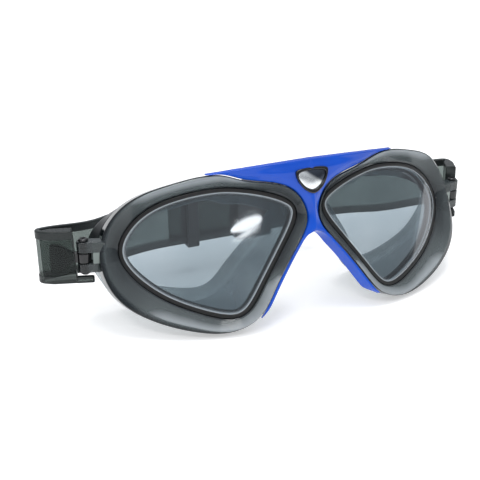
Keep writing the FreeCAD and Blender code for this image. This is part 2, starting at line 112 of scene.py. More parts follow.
# ---- Front frame and badge ----
FRAME_GAP = 0.15
BROW_TIP_STATION = 3.0
BRIDGE_STATION = 6.0
APEX_STATION = 7.7
LEG_START_STATION = 7.9
LEG_END_STATION = 9.9
BROW_TIP = np.array([39.0, 6.2, 15.9])
BROW_MIDDLE = np.array([20.0, 2.3, 17.6])
BROW_TOP = np.array([0.0, 0.3, 18.6])
BRIDGE_APEX = np.array([0.0, -4.5, -7.2])
BROW_THICKNESS = 2.4
BROW_ROUND = 0.55
BEVEL_WIDTH = 2.6
BEVEL_HEIGHT = 1.0
BEVEL_SOFTNESS = 0.012
CROWN_FADE = 4.0
LEG_WIDTH = 1.1
LEG_DEPTH = 5.4
LEG_RADII = [0.42, 0.42, 0.3, 0.3]
LEG_TAPER_POINTS = 8.0
BADGE_TOP_HALF = 6.6
BADGE_TOP_Z = 15.2
BADGE_TIP_Z = 6.2
BADGE_RIM = 1.0
BADGE_PROUD = 0.9
BADGE_SUNK = -1.4
BADGE_RADII = [0.2, 0.42, 0.42, 0.2]
PLATE_BACK = -1.2
PLATE_RIM = 0.25
PLATE_RISE = 0.55
BADGE_FRONT_Y = -2.4
BADGE_LEAN = math.radians(14.0)

# ---- Hinges, clips and strap ----
PIN_X = 81.4
PIN_Y = 21.9
PIN_TOP = -6.4
PIN_BOTTOM = -20.4
PIN_RADIUS = 1.2
PIN_HEAD_RADIUS = 1.8
PIN_DOME = 0.45
PIN_BORE = 0.5
PIN_CLEARANCE = 0.06
KNUCKLE_RADIUS = 2.6
KNUCKLE_TOP = -11.8
KNUCKLE_BOTTOM = -15.6
KNUCKLE_EDGE = 0.35
EAR_TOP = -7.4
EAR_BOTTOM = -19.4
EAR_GAP = 0.2
LUG_LENGTH = 7.8
LUG_HALF = 2.2
LUG_STEM_GAP = 0.6
CLIP_LENGTH = 13.2
CLIP_THICKNESS = 2.2
CLIP_PROFILE = [(1.9, 1.9), (3.6, 2.0), (8.4, 5.0), (12.0, 5.4)]
CLIP_ROUND = 3.4
CLIP_STRETCH = 1.2
CLIP_REST = {"left": math.radians(44.5), "right": 0.0}
STRAP_TOP = -2.8
STRAP_WIDTH = 20.6
STRAP_THICKNESS = 1.8
SLEEVE_START = 3.8
SLEEVE_END = 13.9
SLEEVE_THICKNESS = 4.2
SLEEVE_RISE = 0.9
THINNING_START = SLEEVE_END - 3.0
THINNING_LENGTH = 5.0
STRAP_END_ROUND = 0.9
STRAP_BORDER = 3.0
STRAP_HOLLOW = 0.3
STRAP_RADII = [0.6, 0.15, 0.15, 0.15, 0.15, 0.6]
STRAP_TONES = [1.0, 1.0, 0.0, 0.0, 0.6, 0.6]
HORN_START = -3.2
HORN_TOP = -21.0
STRAP_GAP = 0.3
STRAP_DROP = 5.0
DROP_LENGTH = 36.0
STRAP_REAR_Y = 52.0
STRAP_LAYER = 3.8
TAIL_REACH = 37.0
FOLD_RADIUS = 2.2
FOLD_HEADING = math.radians(153.0)
REAR_BEND_RADIUS = 60.0
SLIDER_LENGTH = 16.0
SLIDER_WALL = 1.6
SLIDER_BAR = 1.2
SLOT_CLEARANCE = 0.5
KEEPER_X = 28.0
KEEPER_LENGTH = 5.0
KEEPER_WALL = 1.2
SLOT_HEIGHT = STRAP_WIDTH + 2 * SLOT_CLEARANCE
SLOT_BOTTOM = STRAP_TOP - STRAP_DROP - STRAP_WIDTH - SLOT_CLEARANCE

# ---- Surface grain, as noise scales per metre and heights in metres ----
PATCH_SCALE = 45.0
GRAIN_SCALE = 2200.0
GRAIN_RELIEF = 0.000004
BRUSHING_RELIEF = 0.00001

AXIS_U = np.array([math.cos(WRAP), math.sin(WRAP), 0.0])
AXIS_H = np.array([
    math.sin(WRAP) * math.cos(RAKE), -math.cos(WRAP) * math.cos(RAKE), math.sin(RAKE),
])
AXIS_W = np.cross(AXIS_H, AXIS_U)
BACKWARD = np.array([0.0, math.cos(RAKE), -math.sin(RAKE)])
UP = np.array([0.0, 0.0, 1.0])
PIN_AXIS = np.array([PIN_X, PIN_Y, 0.0])
LAMP_TARGET = Vector((0.0, 0.0, 0.02))


def frame_shift():
    """Where the layout's own origin lies in the row's frame, found from the two hinge pins."""
    middles = []
    for side in SIDES:
        low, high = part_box(f"{side}_hinge_pin")
        middles.append((low + high) / 2)
    middle = (middles[0] + middles[1]) / 2
    return np.array(middle) - np.array([0.0, PIN_Y, (PIN_TOP + PIN_BOTTOM) / 2]) * MM


SHIFT = frame_shift()


def place(points):
    """Millimetres of the layout to metres of the row's frame."""
    return np.asarray(points, float) * MM + SHIFT


# ======== curves ========

def unit(vectors):
    """The vectors with length one."""
    return vectors / np.linalg.norm(vectors, axis=-1, keepdims=True)


def eye_point(u, w, h):
    """Points of the left eye's own frame, in the layout's frame."""
    columns = np.stack([u, w, h], axis=-1)
    return EYE_CENTRE + columns @ np.array([AXIS_U, AXIS_W, AXIS_H])


def lens_height(u):
    """Front surface of the lens: a cylinder about the eye's upright axis."""
    return np.sqrt(LENS_RADIUS ** 2 - u * u) - LENS_RADIUS


def outline_normals():
    """Outward direction, in (u, w), at each station of the lens outline."""
    along = np.roll(LENS_OUTLINE, -1, axis=0) - np.roll(LENS_OUTLINE, 1, axis=0)
    return unit(np.stack([along[:, 1], -along[:, 0]], axis=1))


NORMALS = outline_normals()


def station_points(out, rise):
    """Points around the left lens, a given way outside its edge and in front of its surface."""
    flat = LENS_OUTLINE + NORMALS * np.broadcast_to(out, STATIONS)[:, None]
    height = lens_height(flat[:, 0]) + np.broadcast_to(rise, STATIONS)
    return eye_point(flat[:, 0], flat[:, 1], height)


def outline_parameters():
    """Curve parameter of each station, spaced by the square root of the gaps between them
    on the line half way across the bezel."""
    half_way = LENS_OUTLINE + NORMALS * BEZEL_MIDDLE
    gaps = np.linalg.norm(np.roll(half_way, -1, axis=0) - half_way, axis=1)
    return np.concatenate([[0.0], np.cumsum(np.sqrt(gaps))])


PARAMETERS = outline_parameters()
EVENLY = np.linspace(0.0, PARAMETERS[-1], AROUND, endpoint=False)


def parameter(station):
    """Curve parameter at station numbers, which may lie between two stations."""
    return np.interp(station, np.arange(STATIONS + 1), PARAMETERS)


def closed_spline(points, at=EVENLY):
    """Smooth closed curve through one point per station, at the given parameters."""
    points = np.asarray(points, float)
    gaps = np.diff(PARAMETERS)
    system = np.zeros((STATIONS, STATIONS))
    target = np.zeros_like(points)
    for i in range(STATIONS):
        after = (i + 1) % STATIONS
        system[i, i - 1] += gaps[i - 1]
        system[i, i] += 2 * (gaps[i - 1] + gaps[i])
        system[i, after] += gaps[i]
        rise = (points[after] - points[i]) / gaps[i]
        target[i] = 6 * (rise - (points[i] - points[i - 1]) / gaps[i - 1])
    bend = np.linalg.solve(system, target)
    at = np.mod(at, PARAMETERS[-1])
    k = np.clip(np.searchsorted(PARAMETERS, at, side="right") - 1, 0, STATIONS - 1)
    after = (k + 1) % STATIONS
    gap = gaps[k][:, None]
    late = (at - PARAMETERS[k])[:, None] / gap
    early = 1 - late
    curved = (early ** 3 - early) * bend[k] + (late ** 3 - late) * bend[after]
    return early * points[k] + late * points[after] + curved * gap ** 2 / 6


def ring(out, rise):
    """Closed curve a given way outside the lens edge and in front of the lens surface."""
    return closed_spline(station_points(out, rise))


def rounded(corners, radii, steps=5):
    """Rows of points along a closed cross-section with its corners rounded."""
    rows = []
    for k, corner in enumerate(corners):
        back = corners[k - 1] - corner
        ahead = corners[(k + 1) % len(corners)] - corner
        back_length = np.linalg.norm(back, axis=1, keepdims=True)
        ahead_length = np.linalg.norm(ahead, axis=1, keepdims=True)
        back = back / back_length
        ahead = ahead / ahead_length
        cosine = np.sum(back * ahead, axis=1, keepdims=True)
        half_angle = np.arccos(np.clip(cosine, -0.999, 0.999)) / 2
        cut = radii[k] / np.tan(half_angle)
        cut = np.minimum(cut, 0.45 * np.minimum(back_length, ahead_length))
        for share in np.linspace(0, 1, steps + 1):
            rows.append(corner + back * cut * (1 - share) ** 2 + ahead * cut * share ** 2)
    return np.array(rows)


def smooth_step(share):
    """Rises from 0 to 1 as the share does, level at both ends."""
    share = np.clip(share, 0.0, 1.0)
    return share * share * (3 - 2 * share)


def fade(values, start, width):
    """0 up to the start, then rising to 1 over the width; a width below zero runs downward."""
    return smooth_step((values - start) / width)


# ======== meshes ========

def mirror(points, side):
    """Left-side points as they are, or their mirror image for the right."""
    return points * np.array([SIDES[side], 1.0, 1.0])


def new_object(name, data):
    """Object in the scene for a mesh, a lamp or a camera."""
    thing = bpy.data.objects.new(name, data)
    bpy.context.scene.collection.objects.link(thing)
    return thing


def write_tone(mesh, tone):
    """Stores a shade from 0 to 1 at each point of a mesh, which the material reads."""
    shade = mesh.attributes.new("tone", "FLOAT", "POINT")
    shade.data.foreach_set("value", np.asarray(tone, np.float32).ravel())


def mesh_object(name, points, faces, tone=None):
    """Closed smooth mesh from layout points, with its faces turned outward."""
    mesh = bpy.data.meshes.new(name)
    mesh.from_pydata([tuple(p) for p in place(points)], [], faces)
    if tone is not None:
        write_tone(mesh, tone)
    mesh.validate()
    tidy_mesh(mesh)
    piece = new_object(name, mesh)
    weigh_normals(piece)
    return piece


def tidy_mesh(mesh):
    """Faces outward and smooth, with no doubled points."""
    work = bmesh.new()
    work.from_mesh(mesh)
    bmesh.ops.remove_doubles(work, verts=work.verts, dist=1e-7)
    bmesh.ops.recalc_face_normals(work, faces=work.faces)
    for face in work.faces:
        face.smooth = True
    work.to_mesh(mesh)
    work.free()


def weigh_normals(piece):
    """Large faces keep their own normals where they meet small rounded ones."""
    modifier = piece.modifiers.new("even_normals", "WEIGHTED_NORMAL")
    modifier.weight = 80


def grid_faces(rows, columns, close_rows, close_columns):
    """Quads of a grid of points that may close on itself either way."""
    faces = []
    for i in range(rows if close_rows else rows - 1):
        here = i * columns
        below = (i + 1) % rows * columns
        for j in range(columns if close_columns else columns - 1):
            beside = (j + 1) % columns
            faces.append((here + j, here + beside, below + beside, below + j))
    return faces


def loop_piece(name, rows, side="left", tone=None):
    """Ring whose cross-section rows run along closed curves."""
    count, columns = rows.shape[:2]
    faces = grid_faces(count, columns, True, True)
    return mesh_object(name, mirror(rows.reshape(-1, 3), side), faces, tone)


def rail_piece(name, rows, side="left", tone=None):
    """Bar whose cross-section rows run along open rails, closed by a cap at each end."""
    count, columns = rows.shape[:2]
    faces = grid_faces(count, columns, True, False)
    faces.append(tuple(i * columns for i in range(count)))
    faces.append(tuple(i * columns + columns - 1 for i in reversed(range(count))))
    return mesh_object(name, mirror(rows.reshape(-1, 3), side), faces, tone)


def at_level(flat, level):
    """Points of a flat outline at one level."""
    return np.column_stack([flat, np.full(len(flat), level)])


def stacked_piece(name, layers, lift, side="left"):
    """Solid of (outline, level) layers, capped at both ends.

    lift turns (a, b, level) rows into layout points."""
    points = np.concatenate([at_level(flat, level) for flat, level in layers])
    count = len(layers[0][0])
    faces = grid_faces(len(layers), count, False, True)
    faces.append(tuple(range(count)))
    faces.append(tuple((len(layers) - 1) * count + j for j in reversed(range(count))))
    return mesh_object(name, mirror(lift(points), side), faces)


def prism_piece(name, outline, low, high, lift, edge, side="left"):
    """Flat piece with rounded edges: an outline in its own plane, thick between low and high."""
    outline = np.asarray(outline, float)
    inner = shrink(outline, edge)
    margin = outline - inner
    angles = np.linspace(0, math.pi / 2, 5)
    layers = [(inner + margin * math.sin(a), low + edge * (1 - math.cos(a))) for a in angles]
    layers += [(inner + margin * math.cos(a), high - edge * (1 - math.sin(a))) for a in angles]
    return stacked_piece(name, layers, lift, side)


def shrink(outline, distance):
    """Closed flat outline moved inward."""
    after = np.roll(outline, -1, axis=0)
    along = unit(after - outline)
    normal = np.stack([along[:, 1], -along[:, 0]], axis=1)
    middle = unit(normal + np.roll(normal, 1, axis=0))
    cosine = np.sum(middle * normal, axis=1, keepdims=True)
    area = np.sum(outline[:, 0] * after[:, 1] - outline[:, 1] * after[:, 0])
    return outline - middle * distance / np.maximum(cosine, 0.5) * np.sign(area)


def round_outline(corners, radius, steps=5):
    """Flat closed outline with rounded corners."""
    flat = [np.array([[a, b, 0.0]]) for a, b in corners]
    return rounded(flat, [radius] * len(flat), steps)[:, 0, :2]


def lathe_piece(name, profile, side):
    """Tube turned about the hinge pin's axis, from (radius, z) points bottom to top; its bore
    joins the last point to the first."""
    count = 32
    angles = np.linspace(0, 2 * math.pi, count, endpoint=False)
    circle = np.stack([np.cos(angles), np.sin(angles), np.zeros(count)], axis=1)
    rows = np.array([PIN_AXIS + circle * r + UP * z for r, z in profile])
    return loop_piece(name, rows, side)


def set_tone(piece, side, shade):
    """Gives each point of a piece a shade, worked out from its left-side layout position."""
    count = len(piece.data.vertices)
    points = np.empty(count * 3)
    piece.data.vertices.foreach_get("co", points)
    points = (points.reshape(-1, 3) - SHIFT) / MM
    write_tone(piece.data, shade(mirror(points, side)))


def joined(name, pieces):
    """One object out of several, or out of one."""
    work = bmesh.new()
    for piece in pieces:
        work.from_mesh(piece.data)
    mesh = bpy.data.meshes.new(name)
    work.to_mesh(mesh)
    work.free()
    for piece in pieces:
        bpy.data.objects.remove(piece)
    whole = new_object(name, mesh)
    weigh_normals(whole)
    return whole


def combined(target, tool, operation):
    """The target's mesh united with the tool's, or with the tool's taken away."""
    modifier = target.modifiers.new("combine", "BOOLEAN")
    modifier.operation = operation
    modifier.solver = "EXACT"
    modifier.object = tool
    for other in [m for m in target.modifiers if m.type == "WEIGHTED_NORMAL"]:
        target.modifiers.remove(other)
    bpy.context.view_layer.update()
    evaluated = target.evaluated_get(bpy.context.evaluated_depsgraph_get())
    mesh = bpy.data.meshes.new_from_object(evaluated)
    target.modifiers.clear()
    target.data = mesh
    bpy.data.objects.remove(tool)
    for polygon in mesh.polygons:
        polygon.use_smooth = True
    return target


# ======== materials ========

def shader(name):
    """New material with its node tree and its Principled shader."""
    material = bpy.data.materials.new(name)
    material.use_nodes = True
    return material, material.node_tree, material.node_tree.nodes["Principled BSDF"]


def add_node(tree, kind, **values):
    """New shader node with the named inputs set."""
    node = tree.nodes.new("ShaderNode" + kind)
    set_inputs(node, **values)
    return node


def set_inputs(node, **values):
    """Sets inputs by name, with underscores for the spaces in their names."""
    for name, value in values.items():
        node.inputs[name.replace("_", " ")].default_value = value


def noise(tree, scale, detail=3.0, stretch=(1.0, 1.0, 1.0)):
    """Noise texture in the object's own metres."""
    coordinates = add_node(tree, "TexCoord")
    mapping = add_node(tree, "Mapping", Scale=stretch)
    texture = add_node(tree, "TexNoise", Scale=scale, Detail=detail)
    tree.links.new(coordinates.outputs["Object"], mapping.inputs["Vector"])
    tree.links.new(mapping.outputs["Vector"], texture.inputs["Vector"])
    return texture.outputs["Fac"]


def ramp(tree, source, stops):
    """Colour ramp over a value."""
    node = add_node(tree, "ValToRGB")
    elements = node.color_ramp.elements
    while len(elements) < len(stops):
        elements.new(0.5)
    for element, (position, colour) in zip(elements, stops):
        element.position = position
        element.color = (*colour, 1.0)
    tree.links.new(source, node.inputs["Fac"])
    return node.outputs["Color"]


def remap(tree, source, low, high):
    """Value between 0 and 1 spread over a new range."""
    node = add_node(tree, "MapRange", To_Min=low, To_Max=high)
    tree.links.new(source, node.inputs["Value"])
    return node.outputs["Result"]


def surfaced(tree, principled, colour, grain, rough, relief):
    """Links a colour, and a grain that makes the gloss uneven and gives a fine relief."""
    tree.links.new(colour, principled.inputs["Base Color"])
    tree.links.new(remap(tree, grain, *rough), principled.inputs["Roughness"])
    node = add_node(tree, "Bump", Strength=0.12, Distance=relief)
    tree.links.new(grain, node.inputs["Height"])
    tree.links.new(node.outputs["Normal"], principled.inputs["Normal"])


def tone_of(tree):
    """The mesh's own shade, from 0 to 1."""
    node = add_node(tree, "Attribute")
    node.attribute_name = "tone"
    return node.outputs["Fac"]


def facing_of(tree, blend):
    """0 where the surface is seen square on, 1 where it is seen edge on."""
    return add_node(tree, "LayerWeight", Blend=blend).outputs["Facing"]


def arithmetic(tree, operation, first, second, third=None):
    """Result of a maths node; each input is a socket or a number."""
    node = add_node(tree, "Math")
    node.operation = operation
    node.use_clamp = True
    for socket, value in zip(node.inputs, (first, second, third)):
        if isinstance(value, (int, float)):
            socket.default_value = value
        elif value is not None:
            tree.links.new(value, socket)
    return node.outputs["Value"]


def mixed(tree, share, first, second):
    """Blend of two shaders, where share is the second one's part."""
    node = add_node(tree, "MixShader")
    for socket, source in zip(node.inputs, (share, first, second)):
        tree.links.new(source, socket)
    return node.outputs["Shader"]


def moulded(name, stops, rough, coat=0.0, toned=False):
    """Moulded plastic or silicone: soft colour drift, uneven gloss and a fine surface grain.

    The colour runs through its stops by the drift alone, or by the mesh's tone as well."""
    material, tree, principled = shader(name)
    place_in = noise(tree, PATCH_SCALE, 4.0)
    if toned:
        drift = arithmetic(tree, "MULTIPLY_ADD", place_in, 0.3, -0.15)
        place_in = arithmetic(tree, "ADD", tone_of(tree), drift)
    fine = noise(tree, GRAIN_SCALE, 2.0)
    surfaced(tree, principled, ramp(tree, place_in, stops), fine, rough, GRAIN_RELIEF)
    set_inputs(principled, Coat_Weight=coat, Coat_Roughness=0.09)
    return material


def drifting(low, high):
    """Colour stops for the soft drift between two shades."""
    return [(0.35, low), (0.65, high)]


def see_through(material, tint, body, edge_body, toned_body=0.0):
    """Lets tinted light through a moulded material: body is the share that stays solid where
    the surface is seen square on, edge_body where it is seen edge on, and the mesh's tone
    adds up to toned_body, or takes it away where that is below zero."""
    tree = material.node_tree
    see = add_node(tree, "BsdfTransparent")
    paler = tuple(min(1.0, c * 1.12) for c in tint)
    tree.links.new(ramp(tree, noise(tree, 60.0), drifting(tint, paler)), see.inputs["Color"])
    share = remap(tree, facing_of(tree, 0.35), body, edge_body)
    if toned_body:
        share = arithmetic(tree, "MULTIPLY_ADD", tone_of(tree), toned_body, share)
    solid = tree.nodes["Principled BSDF"].outputs["BSDF"]
    surface = mixed(tree, share, see.outputs["BSDF"], solid)
    tree.links.new(surface, tree.nodes["Material Output"].inputs["Surface"])
    return material


def lens_material():
    """Light smoke pane: tinted see-through, with a mirror-like coat, faint smudges and a pale painted
    highlight line along its edge."""
    material, tree, principled = shader("lens_smoke")
    tree.nodes.remove(principled)
    see = add_node(tree, "BsdfTransparent")
    tint = ramp(tree, noise(tree, 30.0, 2.0), [(0.3, (0.56, 0.62, 0.65)), (0.7, (0.62, 0.67, 0.70))])
    tree.links.new(tint, see.inputs["Color"])
    gloss = add_node(tree, "BsdfGlossy", Color=(0.95, 0.97, 1.0, 1.0))
    smudge = noise(tree, 90.0, 4.0, (1.0, 1.0, 2.5))
    tree.links.new(remap(tree, smudge, 0.01, 0.07), gloss.inputs["Roughness"])
    slant = arithmetic(tree, "POWER", facing_of(tree, 0.5), 3.0)
    pane = mixed(tree, remap(tree, slant, 0.08, 1.0), see.outputs["BSDF"], gloss.outputs["BSDF"])
    # Painted highlight: a pale matte colour on the edge, where the tone is high.
    painted_edge_highlight = add_node(tree, "BsdfDiffuse", Color=(0.62, 0.68, 0.72, 1.0))
    line = arithmetic(tree, "MULTIPLY", arithmetic(tree, "POWER", tone_of(tree), 3.0), 0.7)
    surface = mixed(tree, line, pane, painted_edge_highlight.outputs["BSDF"])
    tree.links.new(surface, tree.nodes["Material Output"].inputs["Surface"])
    return material


def metal(name, colour, dark, rough):
    """Bright plating with fine brushing, painted dark by the mesh's tone where a dark reflection is
    painted in.
    """
    material, tree, principled = shader(name)
    lines = noise(tree, 900.0, 2.0, (1.0, 1.0, 0.08))
    drift = arithmetic(tree, "MULTIPLY_ADD", lines, 0.3, tone_of(tree))
    duller = tuple(c * 0.85 for c in colour)
    shade = ramp(tree, drift, [(0.1, colour), (0.3, duller), (1.0, dark)])
    surfaced(tree, principled, shade, lines, (rough * 0.6, rough * 1.4), BRUSHING_RELIEF)
    set_inputs(principled, Metallic=1.0)
    return material


def floor_material():
    """Plain pale studio floor."""
    material, tree, principled = shader("studio_floor")
    tone = ramp(tree, noise(tree, 8.0), [(0.3, (0.80, 0.80, 0.80)), (0.7, (0.84, 0.84, 0.84))])
    tree.links.new(tone, principled.inputs["Base Color"])
    set_inputs(
        principled, Roughness=0.6, Specular_IOR_Level=0.1,
        Emission_Color=(1.0, 1.0, 1.0, 1.0), Emission_Strength=0.42,
    )
    return material


def shine(material, level):
    """Sets how strongly a moulded material reflects where it is seen square on."""
    set_inputs(material.node_tree.nodes["Principled BSDF"], Specular_IOR_Level=level)


BLUE = moulded(
    "frame_blue", drifting((0.001, 0.060, 0.46), (0.002, 0.078, 0.56)), (0.16, 0.26), coat=0.1,
)
shine(BLUE, 0.35)
BLACK = moulded(
    "gloss_black", drifting((0.002, 0.002, 0.003), (0.006, 0.006, 0.007)), (0.10, 0.22), coat=0.2,
)
# Silver plate that turns dark where a reflection is painted in by the tone.
SILVER_PAINTED_REFLECTION = metal("badge_silver", (0.78, 0.81, 0.82), (0.06, 0.07, 0.09), 0.22)
LENS = lens_material()
GASKET = moulded(
    "gasket_black", drifting((0.002, 0.002, 0.002), (0.006, 0.006, 0.006)), (0.3, 0.45),
)
# Bezel colour runs by the mesh's tone from near black up to a pale painted highlight at the crest,
# which is also made more see-through there.
BEZEL = see_through(
    moulded("bezel_smoke", [
        (0.05, (0.003, 0.005, 0.007)), (0.40, (0.028, 0.034, 0.038)),
        (0.80, (0.15, 0.175, 0.18)), (1.00, (0.60, 0.65, 0.68)),
    ], (0.06, 0.12), coat=0.2, toned=True),
    (0.50, 0.55, 0.56), 0.90, 0.97, toned_body=-0.45,
)
shine(BEZEL, 0.35)
# Pale smoke skirt, painted near black by the tone where shade is painted in towards the temples.
SKIRT = see_through(
    moulded("skirt_smoke", [
        (0.10, (0.26, 0.30, 0.32)), (0.30, (0.18, 0.21, 0.22)), (0.85, (0.006, 0.008, 0.009)),
    ], (0.28, 0.42), toned=True),
    (0.86, 0.90, 0.92), 0.36, 0.75, toned_body=0.6,
)
# Lug colours by tone: the stem at tone 0 is painted pale, painted light in place of light passing
# through it; grey ears, dark round the pin.
LUG = see_through(
    moulded("lug_grey", [
        (0.10, (0.26, 0.31, 0.29)), (0.40, (0.034, 0.044, 0.047)),
        (0.60, (0.034, 0.044, 0.047)), (0.90, (0.006, 0.009, 0.010)),
    ], (0.15, 0.3), coat=0.3, toned=True),
    (0.80, 0.84, 0.82), 0.72, 0.95,
)
STRAP = see_through(
    moulded(
        "strap_smoke", drifting((0.014, 0.018, 0.018), (0.030, 0.035, 0.034)), (0.22, 0.36), coat=0.1,
    ),
    (0.60, 0.65, 0.63), 0.34, 0.88, toned_body=0.6,
)
shine(STRAP, 0.25)
KEEPER = moulded(
    "keeper_smoke", drifting((0.012, 0.012, 0.012), (0.024, 0.024, 0.023)), (0.35, 0.5),
)


def dress(piece, material, body, slot, *nodes):
    """Gives a piece its material, the body it moves with and the CAD nodes it stands for."""
    piece.data.materials.clear()
    piece.data.materials.append(material)
    if body:
        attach(piece, body)
    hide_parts(*nodes)


# ======== lenses and bezels ========

def lens_rows():
    """Rows of points from the middle of the lens's front, over its edge, to the back."""
    centre = LENS_OUTLINE.mean(axis=0)

    def row(share, inset, depth):
        flat = closed_spline(centre + (LENS_OUTLINE - NORMALS * inset - centre) * share)
        return eye_point(flat[:, 0], flat[:, 1], lens_height(flat[:, 0]) - depth)

    angles = np.linspace(0, math.pi / 2, LENS_EDGE_STEPS)
    falling = LENS_EDGE * (1 - np.sin(angles))
    rising = LENS_EDGE * (1 - np.cos(angles))
    front = [row(share, LENS_EDGE, 0.0) for share in LENS_SHARES]
    over = [row(1.0, inset, depth) for inset, depth in zip(falling, rising)]
    under = [row(1.0, inset, LENS_THICKNESS - rest) for inset, rest in zip(rising, falling)]
    back = [row(share, LENS_EDGE, LENS_THICKNESS) for share in reversed(LENS_SHARES)]
    height = lens_height(centre[0])
    poles = [eye_point(*centre, height - depth) for depth in (0.0, LENS_THICKNESS)]
    return np.array(front + over + under + back), np.array(poles)


def make_lens(side):
    """Curved pane with a rounded edge, which its tone marks for the material's painted highlight line.
    """
    rows, poles = lens_rows()
    count = len(rows)
    faces = grid_faces(count, AROUND, False, True)
    first_pole = count * AROUND
    last_row = (count - 1) * AROUND
    for j in range(AROUND):
        beside = (j + 1) % AROUND
        faces.append((first_pole, beside, j))
        faces.append((first_pole + 1, last_row + j, last_row + beside))
    points = np.concatenate([rows.reshape(-1, 3), poles])
    rim = np.abs(np.arange(count) - (count - 1) / 2) < LENS_EDGE_STEPS
    tone = np.concatenate([np.repeat(rim.astype(float), AROUND), np.zeros(2)])
    piece = mesh_object(f"{side}_lens_pane", mirror(points, side), faces, tone)
    dress(piece, LENS, "mask", "lens_smoke", f"{side}_lens")


def make_gasket(side):
    """Round-edged seal between the lens and the bezel."""
    outer = GASKET_GAP + GASKET_WIDTH
    corners = [
        ring(-GASKET_OVERLAP, GASKET_LIP), ring(outer, GASKET_LIP),
        ring(outer, GASKET_BACK), ring(GASKET_GAP, GASKET_BACK),
    ]
    piece = loop_piece(f"{side}_lens_seal", rounded(corners, GASKET_RADII, 4), side)
    dress(piece, GASKET, "mask", "gasket_black", f"{side}_lens_gasket")


def bezel_rim(back=0.0):
    """Outer edge of the bezel's front, moved a given way back along the lens's rake."""
    return station_points(RIM_OUT, RIM_RISE) + BACKWARD * back


def bezel_painted_highlight(rows):
    """Painted highlight and shade: brightest along the crest, lighter over the eye and down the nose
    side, painted darker at the temple.
    """
    band = np.repeat(BEZEL_PAINTED_HIGHLIGHT, len(rows) // len(BEZEL_PAINTED_HIGHLIGHT))[:, None]
    across = np.abs(rows[:, :, 0])
    over_eye = fade(across, 14.0, 16.0) * (1 - fade(across, 58.0, 14.0))
    nose_side = fade(rows[:, :, 2], -18.0, -8.0) * (1 - fade(across, 30.0, 12.0))
    shade = band * (0.55 + 0.45 * np.maximum(over_eye, nose_side))
    return np.minimum(shade + 0.2 * nose_side * (band > 0.5), 1.0)


def make_bezel(side):
    """Funnel from the lens up to a rounded crest, with an outer wall and a ledge."""
    corners = [
        ring(BEZEL_SEAT, GASKET_LIP),
        ring(BEZEL_SEAT + BEZEL_FLAT, GASKET_LIP + BEZEL_FLAT),
        ring(CREST_OUT, CREST_RISE),
        closed_spline(bezel_rim()),
        closed_spline(bezel_rim(BEZEL_WALL)),
        ring(-LEDGE_IN, LEDGE_BACK),
        ring(-LEDGE_IN, LEDGE_FRONT),
        ring(BEZEL_SEAT, LEDGE_FRONT),
    ]
    rows = rounded(corners, BEZEL_RADII, 6)
    # The tone carries the painted highlight along the crest and the painted shade at the temple.
    piece = loop_piece(f"{side}_bezel_shell", rows, side, bezel_painted_highlight(rows))
    dress(piece, BEZEL, "mask", "bezel_smoke", f"{side}_bezel")


# ======== face skirt ========

def inward(points, distance):
    """The closed row of points moved towards its own middle, at right angles to the row."""
    along = np.roll(points, -1, axis=0) - np.roll(points, 1, axis=0)
    normal = unit(np.stack([along[:, 2], np.zeros(len(points)), -along[:, 0]], axis=1))
    return points - normal * np.broadcast_to(distance, len(points))[:, None]


def at_depth(points, offset=0.0):
    """The row of points with each one at its face contact depth."""
    moved = points.copy()
    moved[:, 1] = np.array(SEAL_Y) + offset
    return moved


def cup_piece(side):
    """One eye cup: a soft wall from the bezel to the face and a thin lip turned inward."""
    back = np.array([0.0, 1.0, 0.0])
    front = bezel_rim(BEZEL_WALL + SKIRT_GAP)
    seal = at_depth(inward(front, SEAL_IN))
    lip = at_depth(inward(seal, LIP_WIDTH), -LIP_THICKNESS)
    corners = [
        front,
        seal,
        lip,
        lip - back * LIP_THICKNESS * 0.7,
        inward(seal, SKIRT_WALL) - back * 2 * LIP_THICKNESS,
        inward(front, SKIRT_WALL),
    ]
    rows = rounded([closed_spline(corner) for corner in corners], SKIRT_RADII, 6)
    return loop_piece(f"{side}_cup", rows, side)


def web_piece():
    """Saddle that joins the two cups over the wearer's nose."""
    across = np.linspace(-1.0, 1.0, 13)
    under_z = WEB_SIDE_Z + (WEB_CROWN_Z - WEB_SIDE_Z) * (1 - across ** 2)
    ways = ((0.0, 0.0), (0.0, WEB_HEIGHT), (WEB_THICKNESS, WEB_HEIGHT), (WEB_THICKNESS, 0.0))
    corners = [
        np.column_stack([across * WEB_HALF, np.full(13, WEB_FRONT_Y + back), under_z + up])
        for back, up in ways
    ]
    return rail_piece("nose_web", rounded(corners, [WEB_ROUND] * 4, 4))


def skirt_painted_shade(points):
    """Painted shade: darker towards the temples, where the skirt meets the bezel and the lug, but not
    low down.
    """
    return fade(np.abs(points[:, 0]), 57.0, 8.0) * fade(points[:, 2], -22.0, 10.0)


def make_skirt():
    """One-piece soft skirt."""
    skirt = cup_piece("left")
    combined(skirt, cup_piece("right"), "UNION")
    combined(skirt, web_piece(), "UNION")
    piece = joined("soft_skirt", [skirt])
    # Painted shade towards the temples.
    set_tone(piece, "left", skirt_painted_shade)
    dress(piece, SKIRT, "mask", "skirt_smoke", "face_skirt")


# ======== front frame and badge ========

def arc_points(start, middle, end, shares):
    """Points of the arc through three points, by share of its angle."""
    a = middle - start
    b = end - start
    normal = np.cross(a, b)
    square = normal @ normal
    centre = start + (np.cross(normal, a) * (b @ b) + np.cross(b, normal) * (a @ a)) / (2 * square)
    radius = np.linalg.norm(start - centre)
    x_axis = (start - centre) / radius
    y_axis = np.cross(unit(normal), x_axis)
    whole = math.atan2((end - centre) @ y_axis, (end - centre) @ x_axis)
    angle = np.asarray(shares)[:, None] * whole
    return centre + radius * (np.cos(angle) * x_axis + np.sin(angle) * y_axis)


